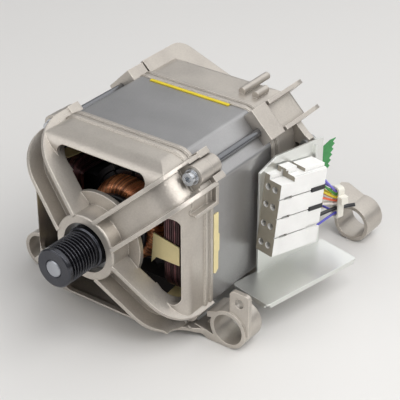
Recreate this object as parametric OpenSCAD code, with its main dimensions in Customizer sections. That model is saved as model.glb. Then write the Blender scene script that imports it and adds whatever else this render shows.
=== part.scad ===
// Brushed universal motor with a ribbed belt pulley, two cast end shields and four mounting eyes.
// +X points right seen from the pulley, +Y runs back along the shaft, +Z is up.
// The origin lies on the shaft axis in the belt plane. All lengths are millimetres.

/* [Body] */
// width across the flats of the square lamination stack
body_width = 116; // [114:1:120]
// how far the corners of the stack are cut along the diagonal
corner_cut = 12.5; // [11.5:0.5:13]
// length of the lamination stack along the shaft
stack_length = 60; // [52:1:72]
// distance from the belt plane to the front face of the stack
stack_start = 60.5; // [60:0.5:66]
// distance from the underside of the stack to the ground under the mounting eyes
ground_gap = 5.2; // [5:0.2:8]

/* [Drive] */
// diameter over the tops of the pulley ribs
pulley_d = 24.6; // [22:0.2:26]
// number of belt ribs
rib_count = 9; // [6:1:10]
// distance from rib to rib
rib_pitch = 2.34; // [2.2:0.02:2.4]
// shaft diameter under the pulley
shaft_end_d = 10.5; // [9:0.5:11]
// shaft diameter at the bearings
shaft_d = 12; // [11.4:0.2:12]
// rotor diameter as a share of the body width
rotor_share = 0.507; // [0.48:0.003:0.51]
// air gap between rotor and stack
air_gap = 0.6; // [0.4:0.1:1]
// number of commutator bars
bar_count = 24; // [18:2:28]
// commutator diameter
commutator_d = 34; // [32:0.5:35]

/* [Bearings] */
// outer diameter of both bearings
bearing_od = 32; // [31:0.5:33]
// width of both bearings
bearing_width = 10; // [9:0.5:10]

/* [Shields] */
// wall thickness of the castings
wall = 3; // [2.6:0.1:3.4]
// depth of the front rim
front_depth = 30; // [29:0.5:33]
// depth of the rear rim
rear_depth = 38; // [36:1:44]
// width of a channel-shaped arm
arm_width = 21.4; // [20:0.2:22]
// thickness of the two ribs that edge an arm
arm_rib = 2.6; // [2.2:0.1:3]
// depth of an arm from its rib edges to its back
arm_depth = 14; // [13:0.5:14.5]
// radius of the fold between the front rim and its frame
front_fold = 11; // [9:0.5:12]
// radius of the fold between the rear rim and its frame
rear_fold = 6; // [5:0.5:6]
// angle of the front arms above the horizontal
arm_angle = 42.3; // [42:0.1:45]

/* [Mounting eyes] */
// distance from the side of the stack to a front eye axis
eye_gap = 16; // [16:0.5:20]
// distance from the side of the stack to a rear eye axis
rear_eye_gap = 13.4; // [13:0.2:16]
// bore of the two front eyes
front_eye_bore = 20.4; // [18:0.2:21]
// bore of the two rear eyes
rear_eye_bore = 20.8; // [19:0.2:21.4]
// wall of an eye
eye_wall = 2.5; // [2.2:0.1:2.8]
// length of a front eye barrel
front_eye_length = 17.5; // [15:0.5:20]
// length of a rear eye barrel
rear_eye_length = 19; // [16:0.5:21]
// hole in the flange of the right front eye
flange_hole = 6.4; // [4:0.2:7]

/* [Terminal side] */
// angle by which the terminal bracket turns away from the body
bracket_yaw = 12; // [10:0.5:13]
// sheet thickness of the bracket
sheet = 1.5; // [1.2:0.1:2]
// angle by which the connector leans on its bracket
connector_lean = 7.5; // [5:0.5:8]
// number of stacked connector tiers
tier_count = 4; // [3:1:4]
// insulated diameter of a wire
wire_d = 1.5; // [1.2:0.1:1.6]

/* [Brush gear] */
// brush thickness around the commutator
brush_thick = 6.4; // [5:0.2:7]
// brush width along the shaft
brush_width = 12.5; // [10:0.5:13]
// brush length when new
brush_length = 20; // [17:0.5:22]
// sliding clearance of a brush in its holder
brush_play = 0.15; // [0.1:0.01:0.2]

/* [Hidden] */
$fn = 64;
half = body_width / 2;
flat_u = half * sqrt(2) - corner_cut;
stack_end = stack_start + stack_length;
ground = -half - ground_gap;
eye_offset = half + eye_gap;
rear_eye_offset = half + rear_eye_gap;

// through bolts
bolt_d = 5;
bolt_angle = arm_angle + 1;
bolt_u = flat_u + 1.9;
low_bolt_u = flat_u - 3.5;
bolt_head_y = stack_start - 11;
bolt_lug = 8;
bolt_tail = 5;
boss_r = 6.8;
lug_play = 0.1;
joint_margin = 1.5;

// arm profiles: reach from the axis, bend radius at the corner, slope from the hub outwards
front_arm = [flat_u + 5.5, 32, 12.4];
front_low_arm = [flat_u + 2, 28.2, 12.4];
rear_arm = [flat_u + 8.5, 15, 28.5];
channel_depth = arm_depth - 4;
hub_r = bearing_od / 2 + 5.4;
arm_root = bearing_od / 2 + 2.2;
frame_y = stack_start - front_depth;
arm_y = frame_y - arm_depth - 3.4;
hub_y = arm_y + 0.9;
flange_r = hub_r + 8.6;

// rear shield stations
rear_frame_y = stack_end + rear_depth;
rear_arm_y = rear_frame_y + 45;
rear_hub_y = rear_arm_y - 35;
rear_rib_y = stack_end + 10.5;
rear_lug_y = rear_frame_y + 13.5;
front_eye_y = stack_start - 6.5;
rear_eye_y = rear_frame_y + 42.3;
front_eye_z = ground + front_eye_bore / 2 + eye_wall;
rear_eye_z = ground + rear_eye_bore / 2 + eye_wall;
bead_rise = 1.2;
bead_width = 3.6;
window_half = half - 6.5;
side_window = half - wall;
window_corner = 5;

// bearings and shaft
front_bearing_y = hub_y + 8;
rear_bearing_y = rear_hub_y + 2.5;
race = 3;
ring_groove_r = bearing_od / 2 + 1.6;
ring_thick = 1.3;
ball_r = 2.35;
ball_count = 8;
ball_play = 0.05;
collar_end = hub_y + 5.5;
pulley_face = -rib_count * rib_pitch / 2 - 3;
tacho_y = rear_bearing_y + bearing_width + 5;
tacho_length = 10;
shaft_end_y = tacho_y + tacho_length + 3;
tail_r = 4;

// field poles and coils
rotor_d = body_width * rotor_share;
bore_r = rotor_d / 2 + air_gap;
pole_half = half * 0.293;
slot_top = half * 0.655;
slot_x = half * 0.845;
shoe = 3.5;
coil_x0 = bore_r + shoe + 1.5;
coil_x1 = slot_x - 1.2;
coil_gap = 0.6;
coil_in_z = pole_half + coil_gap;
coil_out_z = slot_top - 7;
coil_over = 3;
coil_thick = coil_out_z - coil_in_z;
turn_r = 0.6;
turn_gap = 0.45;
turn_count = floor((coil_x1 - coil_x0 - 2 * turn_r) / (2 * turn_r + turn_gap));
turn_pitch = (coil_x1 - coil_x0 - 2 * turn_r) / turn_count;

// commutator and brushes
commutator_y = stack_end + 13.5;
commutator_length = 20;
brush_y = commutator_y + 9.5;
brush_gap = 0.3;
brush_end = commutator_d / 2 + brush_gap + brush_length;
holder_start = commutator_d / 2 + 2.6;
holder_end = half - wall;
holder_wall = 2.4;
holder_cap = 2;
spring_turns = 7;
spring_wire = 0.36;
spring_r = brush_thick / 2 - 0.75;
spring_length = holder_end - holder_cap - brush_end;

// terminal bracket
bracket_x = half + 3.6;
bracket_y = stack_end - 16.1;
bracket_low = -40;
bracket_high = 36.5;
bracket_tail = 52;
foot_width = 31;
lug_y = rear_frame_y - 13;
lug_thick = 5;
tab_y = lug_y + lug_thick;
rivet_r = 1.6;
rivet_hole_r = rivet_r + 0.2;
rivet_places = [[half + 8.7, bracket_high - 3.5], [half + 3.2, bracket_high - 16]];
tier_height = 12.75;
connector_size = [14, 39, tier_height * tier_count];
connector_mid = [sheet, 18.6, 1.5];

// harness route, through the tie and back into the rear shield
tie_at = [half + 28, stack_end + 35, -5];
harness = [tie_at + [-1.4, -2, 0], tie_at, tie_at + [0.3, 5, -2], tie_at + [-4, 9.5, -5],
    tie_at + [-14, 11.5, -7], tie_at + [-36, 13, -4]];
wire_step = wire_d + 0.9;
outlet_step = 5;

front_shield();
rear_shield();
stator_core();
coil_bundles();
field_winding(1);  // field_winding_right
field_winding(-1);  // field_winding_left
pole_insulation();
side_insulation_strip();
top_insulation_strip();
through_bolts();
shaft();
belt_pulley();
rotor_core();
rotor_winding_front();
rotor_winding_rear();
rotor_end_ring();
commutator_bars();
commutator_core();
bearing_outer(front_bearing_y);  // front_bearing_outer_ring
bearing_inner(front_bearing_y);  // front_bearing_inner_ring
bearing_balls(front_bearing_y);  // front_bearing_balls
bearing_outer(rear_bearing_y);  // rear_bearing_outer_ring
bearing_inner(rear_bearing_y);  // rear_bearing_inner_ring
bearing_balls(rear_bearing_y);  // rear_bearing_balls
retaining_ring();
brush_holders();
carbon_brush(1);  // upper_brush
carbon_brush(-1);  // lower_brush
brush_spring(1);  // upper_brush_spring
brush_spring(-1);  // lower_brush_spring
tacho_magnet();
tacho_coil();
tacho_cap();
terminal_bracket();
bracket_rivets();
connector_housing();
connector_terminals();
connector_keys();
wire("#7a6fd0", 3.4, 3);  // wire_violet
wire("#4f9a3a", 2.4, 2);  // wire_green
wire("#e8cf3a", 1.4, 1);  // wire_yellow
wire("#d8694a", 0.4, 0);  // wire_red
wire("#e6e2dc", -0.6, -1);  // wire_white
wire("#5a55c8", -4, -4);  // wire_blue
black_sleeve();
cable_tie();
harness_tape();

// extrudes a plan drawn in X and Z from y0 over a length along Y
module along_y(y0, length) {
    translate([0, y0 + length, 0]) rotate([90, 0, 0]) linear_extrude(length) children();
}

// extrudes a side view drawn in Y and Z from x0 over a length along X
module along_x(x0, length) {
    translate([x0, 0, 0]) rotate([90, 0, 90]) linear_extrude(length) children();
}

// turns a profile of radius and Y about the shaft axis
module about_shaft() {
    rotate([-90, 0, 0]) rotate_extrude() children();
}

// a cylinder along Y
module rod(r, y0, length) {
    translate([0, y0, 0]) rotate([-90, 0, 0]) cylinder(r = r, h = length);
}

// repeats a corner shape, drawn along +X, at the two upper corners
module at_upper(angle) {
    for (a = [-angle, 180 + angle]) rotate([0, a, 0]) children();
}

// repeats a corner shape, drawn along +X, at the two lower corners
module at_lower(angle) {
    for (a = [angle, 180 - angle]) rotate([0, a, 0]) children();
}

// rectangle with rounded corners, centred
module round_rect(w, h, r) {
    square([w - 2 * r, h], center = true);
    square([w, h - 2 * r], center = true);
    for (x = [-1, 1], y = [-1, 1]) translate([x * (w / 2 - r), y * (h / 2 - r)]) circle(r);
}

// square with cut and rounded corners: w to the flats, u to the cuts, r corner radius
module cut_square(w, u, r) {
    a = w - r;
    b = sqrt(2) * (u - r) - a;
    k = r / sqrt(2);
    quarter = [[a + r, b], [a + k, b + k], [b + k, a + k], [b, a + r]];
    for (q = [0 : 90 : 270]) rotate(q) {
        polygon(concat([[0, 0]], quarter, [[0, a + r]]));
        polygon([[0, 0], [a + r, 0], [a + r, b]]);
        translate([a, b]) circle(r);
        translate([b, a]) circle(r);
    }
}

// side view of a rim whose closed end at y = 0 is rounded
module fold_profile(w, r, depth) {
    translate([-w, r]) square([2 * w, depth - r]);
    translate([r - w, 0]) square([2 * (w - r), depth]);
    for (s = [-1, 1]) translate([s * (w - r), r]) circle(r);
}

// solid of a rim, rounded towards y = 0 on its four sides
module rim_solid(w, u, fold, depth) {
    intersection() {
        linear_extrude(2 * w + 2, center = true) fold_profile(w, fold, depth);
        rotate([0, 90, 0]) linear_extrude(2 * w + 2, center = true) fold_profile(w, fold, depth);
        along_y(0, depth) cut_square(w, u, 12);
    }
}

// rim with a closed end, open towards the stack, with a double bead at the joint that it runs past
module rim(depth, fold, past) {
    difference() {
        union() {
            rim_solid(half, flat_u, fold, depth + past);
            for (b = [0, bead_width + 1.4]) {
                along_y(depth - bead_width - b, bead_width + (b == 0 ? past : 0))
                    cut_square(half + bead_rise / 2, flat_u + bead_rise / 2, 12);
                along_y(depth - bead_width + 0.7 - b, bead_width - 1.4)
                    cut_square(half + bead_rise, flat_u + bead_rise, 12);
            }
        }
        translate([0, wall, 0])
            rim_solid(half - wall, flat_u - wall, fold - wall, depth + past);
    }
}

// three-sided window between two arms: apex half angle, distance of its outer edge
module window(angle, edge) {
    r = window_corner;
    apex = arm_width / 2 / sin(angle);
    c = ((edge - r - apex) * sin(angle) - r) / cos(angle);
    side = [c + r * cos(angle), edge - r - r * sin(angle)];
    polygon([[0, apex], side, [c, edge], [-c, edge], [-side[0], side[1]]]);
    for (s = [-1, 1]) translate([s * c, edge - r]) circle(r);
}

// the four windows of the front frame and the open middle that joins them
module front_windows() {
    circle(half * 0.73);
    for (a = [0, 180]) rotate(a) {
        window(90 - arm_angle, window_half);
        rotate(90) window(arm_angle, side_window);
    }
}

// region behind the edge of an arm, inset by a distance, in radius and depth
module arm_region(shape, inset, length, root) {
    bend = shape[1];
    slope = shape[2];
    mid = [shape[0] - bend, (shape[0] - bend - arm_root) * tan(slope) + bend / cos(slope)];
    r = bend - inset;
    start = inset / cos(slope) + (root - arm_root) * tan(slope);
    edge = mid[0] + r;
    polygon([[root, start], mid + r * [sin(slope), -cos(slope)], [edge, mid[1]], [edge, length],
        [root, length]]);
    intersection() {
        translate(mid) circle(r, $fn = 96);
        translate(mid - [1, r + 1]) square([r + 2, r + 2]);
    }
}

// channel-shaped arm: two edge ribs over a floor, bent round the corner
module arm(shape, length) {
    for (s = [-1, 1]) translate([0, 0, s * (arm_width - arm_rib) / 2])
        linear_extrude(arm_rib, center = true) difference() {
            arm_region(shape, 0, length, arm_root);
            arm_region(shape, arm_depth, length + 1, arm_root - 1);
        }
    linear_extrude(arm_width, center = true) difference() {
        arm_region(shape, channel_depth, length, arm_root);
        arm_region(shape, arm_depth, length + 1, arm_root - 1);
    }
}

// clear space of an arm's channel, in front of its floor
module arm_channel(shape, length) {
    linear_extrude(arm_width - 2 * arm_rib, center = true) difference() {
        translate([arm_root, -arm_depth]) square([shape[0], length + arm_depth]);
        arm_region(shape, channel_depth, length + 1, arm_root - 1);
    }
}

// screw seat and boss of a front corner, running past the joint
module front_corner(u) {
    y0 = bolt_head_y - 2;
    length = stack_start + joint_margin - y0;
    translate([u - 8, y0, -arm_width / 2 + 1]) cube([8.6, length, arm_width - 2]);
    translate([u, 0, 0]) rod(boss_r, y0, length);
}

// lug and two locating pads of an upper front corner, over the cut corner of the stack
module corner_lug() {
    translate([bolt_u, 0, 0]) rod(boss_r - 0.2, stack_start - 3, bolt_lug + 3);
    for (s = [-1, 1]) translate([flat_u - 1, stack_start - 2, s * (arm_width / 2 - 2.4) - 2])
        cube([7.2, bolt_lug + 1.4, 4]);
}

// recess for a screw head and the hole behind it
module front_screw_cut(u) {
    translate([u - 6, bolt_head_y - 9, -7.6]) cube([16, 9, 15.2]);
    translate([u, 0, 0]) rod(bolt_d / 2 + 0.25, bolt_head_y - 1, stack_length);
}

// threaded block of a rear corner
module rear_corner() {
    translate([flat_u - 5.5, stack_end, -arm_width / 2]) cube([13.1, 9, arm_width]);
}

// block of an upper rear corner, reaching forward over the stack
module rear_block() {
    translate([flat_u, stack_end - 5.5, -arm_width / 2]) cube([7.6, 10, arm_width]);
}

// two round prongs on top of the rear rim
module rear_prongs() {
    r = 2.4;
    y0 = rear_frame_y - 21.5;
    for (p = [[0.43, 29], [0.6, 13]]) translate([half * p[0], y0, half + 1.8]) about_shaft()
        polygon([[0, 0], [r, 0], [r, p[1] - 1.4], [r - 1.2, p[1]], [0, p[1]]]);
}

// place of the bracket's inner face at a station along the shaft
function bracket_face(y) = bracket_x + (y - bracket_y) * tan(bracket_yaw);

// cast gusset on the right rear wall that carries the bracket
module bracket_gusset() {
    tip = bracket_face(lug_y) - 0.8;
    h = bracket_high;
    along_y(lug_y, lug_thick) difference() {
        polygon([[half - 2, h - 28], [half - 2, h + 6], [half + 1.5, h + 8], [half + 8, h + 2], [tip, h],
            [tip, h - 6.5], [half + 7, h - 16.5]]);
        polygon([[half + 1.2, h - 4.5], [half + 6, h - 5], [half + 1.2, h - 11]]);
    }
}

// web, top and bottom flange that carry a front eye, drawn in X and Z
module front_lug(z, r) {
    y0 = front_eye_y;
    side = half + 1;
    along_y(y0, front_eye_length) polygon([[half - 9.5, ground + 4.9], [half - 8, ground + 7.5],
        [eye_offset - 2, ground + 3.4], [eye_offset, ground], [half + 2, ground]]);
    along_y(y0, front_eye_length) polygon([[side, 15 - half], [side, 11 - half],
        [eye_offset - 7, z + r - 7], [eye_offset - 4, z + r - 2]]);
    along_y(y0 + 7, 4) polygon([[half - 6, ground + 3], [eye_offset, ground + 1],
        [eye_offset, z + r - 2], [side, 14 - half], [side, 8 - half]]);
    intersection() {
        along_y(y0 - 12, 17) polygon([[half - 14.5, ground + 8.6], [half - 8, ground + 7.1], [half, ground + 5.5],
            [half, ground + 1.4], [half - 9.5, ground + 5.2], [half - 14.5, ground + 6.2]]);
        translate([0, 0, ground]) linear_extrude(half) polygon([[half - 14.5, y0 - 11], [half - 2.8, y0 - 0.8],
            [half, y0 + 0.3], [half, y0 + 4], [half - 14.5, y0 + 4]]);
    }
}

// flange that widens from the lower rear arm to the top of a rear eye, and a web behind its bore
module rear_lug(z, r) {
    x = rear_eye_offset;
    y0 = rear_eye_y;
    y1 = y0 + rear_eye_length;
    root = half - 15.5;
    intersection() {
        along_y(rear_lug_y - 1, y1 - rear_lug_y + 2) polygon([[root, ground + 36], [half - 0.5, ground + 31],
            [x - 1, z + r - 0.4], [x + 1, z], [x - 8, z + r - 7], [half - 0.5, ground + 25.5],
            [root, ground + 31]]);
        translate([0, 0, ground]) linear_extrude(half) polygon([[root, rear_lug_y], [half - 7, rear_lug_y],
            [half, y0 - 10], [half + 4, y0 + 0.3], [x + 2, y0 + 0.3], [x + 2, y1 - 0.3], [half - 0.5, y1 - 0.3],
            [half - 4, y1 - 4], [half - 4, y0 + 2], [root, rear_lug_y + 12]]);
    }
    along_y(y0 + 12, 4) polygon([[half - 0.5, ground + 29], [half - 0.5, ground + 18], [x - 7, ground + 8],
        [x, z], [x, z + r - 2]]);
}

// upright flange with a round hole beside the right front eye
module eye_flange() {
    z = front_eye_z;
    right = eye_offset + 14.2;
    top = z + 28;
    along_y(front_eye_y + 1, 3) difference() {
        union() {
            translate([eye_offset + 0.6, z]) square([right - eye_offset - 0.6, top - z - 3]);
            translate([eye_offset + 3.6, z]) square([right - eye_offset - 6.6, top - z]);
            translate([eye_offset + 3.6, top - 3]) circle(3);
            translate([right - 3, top - 3]) circle(3);
            translate([right - 13, z - 11]) square([13, 12]);
        }
        translate([eye_offset + 7.4, z + 21]) circle(d = flange_hole);
        translate([right, z - 12]) circle(11);
    }
}

// turned hub of a shield: ring, bearing seat with lip and back flange
module hub(face, seat_end, back, back_r) {
    about_shaft() difference() {
        union() {
            translate([0, face + 1]) square([hub_r, back - face - 1]);
            translate([0, face]) square([hub_r - 1, 2]);
            translate([hub_r - 1, face + 1]) circle(1);
            translate([0, back - 3]) square([back_r, 3]);
        }
        translate([-1, face - 1]) square([bearing_od / 2 + 1, seat_end - face + 1]);
        translate([-1, face - 1]) square([bearing_od / 2 - 2.5 + 1, back - face + 2]);
    }
}

// small open pocket on the right rim below the upper arm
module rim_pocket() {
    y0 = stack_start - 20;
    low = half - 26;
    difference() {
        union() {
            translate([half - 2, y0, low - 2.5]) cube([6.4, 20 + joint_margin, 12]);
            translate([half - 2, y0, low]) rotate([0, 90, 0]) cylinder(r = 2.5, h = 6.4);
        }
        translate([half + 0.5, y0 - 4, low]) cube([8, 21.5, 12]);
    }
}

// front rim with its frame, windows and open arm channels
module front_rim() {
    channel = bolt_head_y - 1 - arm_y;
    difference() {
        translate([0, frame_y, 0]) rim(front_depth, front_fold, joint_margin);
        along_y(frame_y - 1, front_fold + 1) front_windows();
        translate([0, arm_y, 0]) {
            at_upper(arm_angle) arm_channel(front_arm, channel);
            at_lower(arm_angle) arm_channel(front_low_arm, channel);
        }
    }
}

// rim, hub, arms and corners of the front shield, cut off at the joint by one plane
module front_frame() {
    length = stack_start + joint_margin - arm_y;
    difference() {
        union() {
            front_rim();
            hub(hub_y, front_bearing_y + bearing_width, frame_y + 0.5, flange_r);
            translate([0, arm_y, 0]) {
                at_upper(arm_angle) arm(front_arm, length);
                at_lower(arm_angle) arm(front_low_arm, length);
            }
            at_upper(bolt_angle) front_corner(bolt_u);
            at_lower(bolt_angle) front_corner(low_bolt_u);
            rim_pocket();
        }
        translate([-2 * half, stack_start, -2 * half]) cube([4 * half, 2 * joint_margin, 4 * half]);
    }
}

// front end shield casting
module front_shield() {
    z = front_eye_z;
    r = front_eye_bore / 2 + eye_wall;
    color("#beb4aa") difference() {
        union() {
            front_frame();
            difference() {
                at_upper(bolt_angle) corner_lug();
                along_y(stack_start - 4, 2 * bolt_lug) cut_square(half + lug_play, flat_u + lug_play, 3);
            }
            for (s = [0, 1]) mirror([s, 0, 0]) {
                front_lug(z, r);
                translate([eye_offset, 0, z]) rod(r, front_eye_y, front_eye_length);
            }
            eye_flange();
        }
        for (s = [-1, 1]) translate([s * eye_offset, 0, z])
            rod(front_eye_bore / 2, front_eye_y - 1, front_eye_length + 2);
        at_upper(bolt_angle) front_screw_cut(bolt_u);
        at_lower(bolt_angle) front_screw_cut(low_bolt_u);
        rod(ring_groove_r, front_bearing_y - 2.2, ring_thick + 0.2);
    }
}

// rear end shield casting
module rear_shield() {
    z = rear_eye_z;
    r = rear_eye_bore / 2 + eye_wall;
    back = rear_arm_y + 0.5;
    thread = bolt_d / 2;
    color("#b9b0a6") difference() {
        union() {
            difference() {
                translate([0, rear_frame_y, 0]) mirror([0, 1, 0]) rim(rear_depth, rear_fold, 0);
                along_y(rear_frame_y - wall - 1, wall + 2) cut_square(window_half, flat_u - 5, 6);
            }
            translate([0, back + rear_hub_y, 0]) mirror([0, 1, 0])
                hub(rear_hub_y, back - rear_bearing_y + rear_hub_y, back, hub_r);
            for (a = [45 : 90 : 315]) rotate([0, a, 0]) {
                translate([0, rear_arm_y, 0]) mirror([0, 1, 0]) arm(rear_arm, rear_arm_y - rear_rib_y);
                rear_corner();
            }
            at_upper(45) rear_block();
            rear_prongs();
            bracket_gusset();
            for (s = [0, 1]) mirror([s, 0, 0]) {
                rear_lug(z, r);
                translate([rear_eye_offset, 0, z]) rod(r, rear_eye_y, rear_eye_length);
            }
        }
        for (s = [-1, 1]) translate([s * rear_eye_offset, 0, z])
            rod(rear_eye_bore / 2, rear_eye_y - 1, rear_eye_length + 2);
        at_upper(bolt_angle) translate([bolt_u, 0, 0]) rod(thread, stack_end - 12, 12 + bolt_tail + 1);
        at_lower(bolt_angle) translate([low_bolt_u, 0, 0]) rod(thread, stack_end - 1, bolt_tail + 2);
        for (p = rivet_places) translate([p[0], 0, p[1]]) rod(rivet_hole_r, lug_y - 1, lug_thick + 2);
    }
}

// outline of one lamination: yoke, two poles with curved shoes, coil slots
module lamination() {
    difference() {
        cut_square(half, flat_u, 3);
        circle(bore_r);
        for (s = [-1, 1]) translate([-slot_x, s > 0 ? pole_half : -slot_top])
            square([2 * slot_x, slot_top - pole_half]);
        for (a = [bolt_angle, 180 - bolt_angle]) rotate(a) translate([bolt_u, 0]) circle(bolt_d / 2 + 0.5);
        for (a = [-bolt_angle, 180 + bolt_angle]) rotate(a) translate([low_bolt_u, 0])
            circle(bolt_d / 2 + 0.5);
    }
    intersection() {
        difference() {
            circle(bore_r + shoe);
            circle(bore_r);
        }
        for (s = [0, 180]) rotate(s) polygon([[0, 0], [half * 0.5, half * 0.9], [half, half * 0.9],
            [half, -half * 0.9], [half * 0.5, -half * 0.9]]);
    }
}

// lamination stack
module stator_core() {
    color("#97979a") along_y(stack_start, stack_length) lamination();
}

// plain inner bundles of the two field coils
module coil_bundles() {
    length = stack_length + 2 * coil_over;
    mid = (stack_start + stack_end) / 2;
    for (s = [0, 1]) color("#8a4a26") mirror([s, 0, 0])
        along_x(coil_x0, coil_x1 - coil_x0) translate([mid, 0]) difference() {
            round_rect(length + 2 * coil_thick, 2 * coil_out_z, coil_thick);
            square([length, 2 * coil_in_z], center = true);
        }
}

// points of one racetrack turn, 24 to a turn, climbing along X
function turn_point(i, a, b, r) = let (
    q = floor((i % 24) / 6),
    w = q * 90 + (i % 6) * 18,
    cy = (q == 0 || q == 3 ? 1 : -1) * (a - r),
    cz = (q < 2 ? 1 : -1) * (b - r))
    [coil_x0 + turn_r + turn_pitch * i / 24, cy + r * cos(w), cz + r * sin(w)];

function unit(v) = v / norm(v);

// ring of points round a path point, with a fixed side direction
function ring_at(p, t, side, r, sides) = let (a = unit(cross(t, side)), b = cross(a, t))
    [for (k = [0 : sides - 1]) p + r * (cos(360 * k / sides) * a + sin(360 * k / sides) * b)];

// one unbroken tube along a list of points
module tube(path, r, sides, side) {
    n = len(path);
    rings = [for (i = [0 : n - 1])
        ring_at(path[i], unit(path[min(i + 1, n - 1)] - path[max(i - 1, 0)]), side, r, sides)];
    points = [for (g = rings) each g];
    skin = [for (i = [0 : n - 2], k = [0 : sides - 1]) let (m = (k + 1) % sides) each [
        [i * sides + k, i * sides + m, (i + 1) * sides + m],
        [i * sides + k, (i + 1) * sides + m, (i + 1) * sides + k]]];
    caps = [for (k = [1 : sides - 2]) each [[0, k + 1, k],
        [(n - 1) * sides, (n - 1) * sides + k, (n - 1) * sides + k + 1]]];
    polyhedron(points, concat(skin, caps));
}

// least free distance of a tube to itself, leaving out neighbours within a span of points
function self_gap(path, r, span) = min([for (i = [0 : len(path) - 1], j = [i + span : len(path) - 1])
    if (j < len(path)) norm(path[i] - path[j])]) - 2 * r;

// outer layer of a field coil, wound over its bundle
module field_winding(side) {
    mid = (stack_start + stack_end) / 2;
    a = stack_length / 2 + coil_over + coil_thick + turn_r + 0.05;
    b = coil_out_z + turn_r + 0.05;
    path = [for (i = [0 : 24 * turn_count]) turn_point(i, a, b, coil_thick)];
    echo(str("field winding self gap ", self_gap(path, turn_r, 12)));
    color("#a8582c") mirror([side < 0 ? 1 : 0, 0, 0]) translate([0, mid, 0])
        tube(path, turn_r, 6, [1, 0, 0]);
}

// folded insulation flaps in front of and behind the poles
module pole_insulation() {
    front = stack_start - coil_over - coil_thick - 2 * turn_r - 1.1;
    x0 = bore_r - 3;
    for (s = [0, 1]) color("#d9c48a") mirror([s, 0, 0]) {
        along_y(front, 0.8) polygon([[x0, -14], [x0 + 2, 7], [coil_x1, 3.5], [coil_x1, -9],
            [x0 + 4, -9]]);
        translate([coil_x0 - 0.9, front, -9]) cube([0.8, stack_start - front, 12]);
    }
}

// insulation edge that shows between the front rim and the stack on the right
module side_insulation_strip() {
    y0 = stack_start + 0.6;
    color("#e2c585") along_x(half, 0.7) polygon([[y0, -20], [y0, 20], [y0 + 4.6, 20], [y0 + 4.6, 6],
        [y0 + 5.6, 5], [y0 + 5.6, -6], [y0 + 4.6, -7], [y0 + 4.6, -19], [y0 + 2, -21]]);
}

// insulation edge that shows before the rear rim on top
module top_insulation_strip() {
    color("#e6cf2e") translate([-0.55 * half, stack_end - 2.4, half]) cube([1.03 * half, 2.2, 0.7]);
}

// one long bolt with a flanged round head and a six-sided socket, at a distance from the axis
module through_bolt(u) {
    tail = stack_end + bolt_tail;
    color("#5c5f64") translate([u, 0, 0]) difference() {
        union() {
            rod(bolt_d / 2, bolt_head_y - 1, tail - bolt_head_y + 1);
            rod(4.9, bolt_head_y - 1.2, 1.2);
            rod(4, bolt_head_y - 4.6, 4);
        }
        translate([0, bolt_head_y - 5, 0]) rotate([-90, 0, 0]) cylinder(r = 2, h = 3, $fn = 6);
    }
}

// two bolts beside the stack above and two inside it below
module through_bolts() {
    at_upper(bolt_angle) through_bolt(bolt_u);
    at_lower(bolt_angle) through_bolt(low_bolt_u);
}

// stepped shaft with chamfered ends
module shaft() {
    r1 = shaft_end_d / 2;
    r2 = shaft_d / 2;
    step = front_bearing_y - 1;
    tail = rear_bearing_y + bearing_width;
    color("#c9cbcf") about_shaft() polygon([[0, pulley_face - 0.4], [r1 - 0.6, pulley_face - 0.4],
        [r1, pulley_face + 0.2], [r1, step], [r2, step], [r2, tail], [tail_r, tail],
        [tail_r, shaft_end_y - 0.6], [tail_r - 0.6, shaft_end_y], [0, shaft_end_y]]);
}

// ribbed belt pulley with plain end land and collar
module belt_pulley() {
    r = pulley_d / 2;
    start = -rib_count * rib_pitch / 2;
    deep = rib_pitch * 0.86;
    crest = 0.5;
    grooves = [for (i = [0 : rib_count - 1]) let (y = start + i * rib_pitch) each [
        [r, y], [r, y + crest / 2], [r - deep, y + rib_pitch / 2 - 0.2],
        [r - deep, y + rib_pitch / 2 + 0.2], [r, y + rib_pitch - crest / 2]]];
    color("#26282c") about_shaft() difference() {
        polygon(concat([[shaft_end_d / 2, pulley_face], [r - 0.8, pulley_face], [r, pulley_face + 0.8]],
            grooves, [[r, -start], [r, hub_y - 1.2], [r + 0.9, hub_y - 0.4], [r + 0.9, collar_end - 0.6],
            [r + 0.3, collar_end], [shaft_end_d / 2, collar_end]]));
        translate([shaft_end_d / 2, pulley_face - 0.1]) circle(r = 0.6, $fn = 24);
    }
}

// slotted rotor core
module rotor_core() {
    color("#6e7074") along_y(stack_start, stack_length) difference() {
        circle(rotor_d / 2);
        circle(shaft_d / 2);
        for (a = [0 : 30 : 330]) rotate(a) {
            translate([rotor_d / 2 - 8.5, 0]) circle(3.8);
            translate([rotor_d / 2 - 6, -1.3]) square([8, 2.6]);
        }
    }
}

// end winding of the rotor: a rounded ring parted into bundles
module end_winding(y0, length, r) {
    difference() {
        about_shaft() {
            translate([shaft_d / 2 + 4, 0]) translate([0, y0]) square([r - shaft_d / 2 - 8, length]);
            translate([shaft_d / 2 + 4, y0 + 4]) square([r - shaft_d / 2 - 4, length - 8]);
            for (y = [y0 + 4, y0 + length - 4]) translate([r - 4, y]) circle(4);
        }
        for (a = [0 : 30 : 330]) rotate([0, a + 15, 0])
            translate([shaft_d / 2 + 8, y0 - 1, -0.6]) cube([r, length + 2, 1.2]);
    }
}

// copper end winding at the pulley side
module rotor_winding_front() {
    color("#b0602c") end_winding(stack_start - 14, 14, rotor_d / 2 - 1.4);
}

// copper end winding at the commutator side
module rotor_winding_rear() {
    color("#b0602c") end_winding(stack_end, 11.5, rotor_d / 2 - 2.4);
}

// dark insulating ring in front of the rotor winding
module rotor_end_ring() {
    y = stack_start - 14;
    r = rotor_d * 0.35;
    color("#1d1d20") about_shaft() polygon([[shaft_d / 2, y - 8], [shaft_d / 2 + 5, y - 8],
        [shaft_d / 2 + 7, y - 3.5], [r - 0.6, y - 3], [r, y - 2.4], [r, y], [shaft_d / 2, y]]);
}

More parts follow.
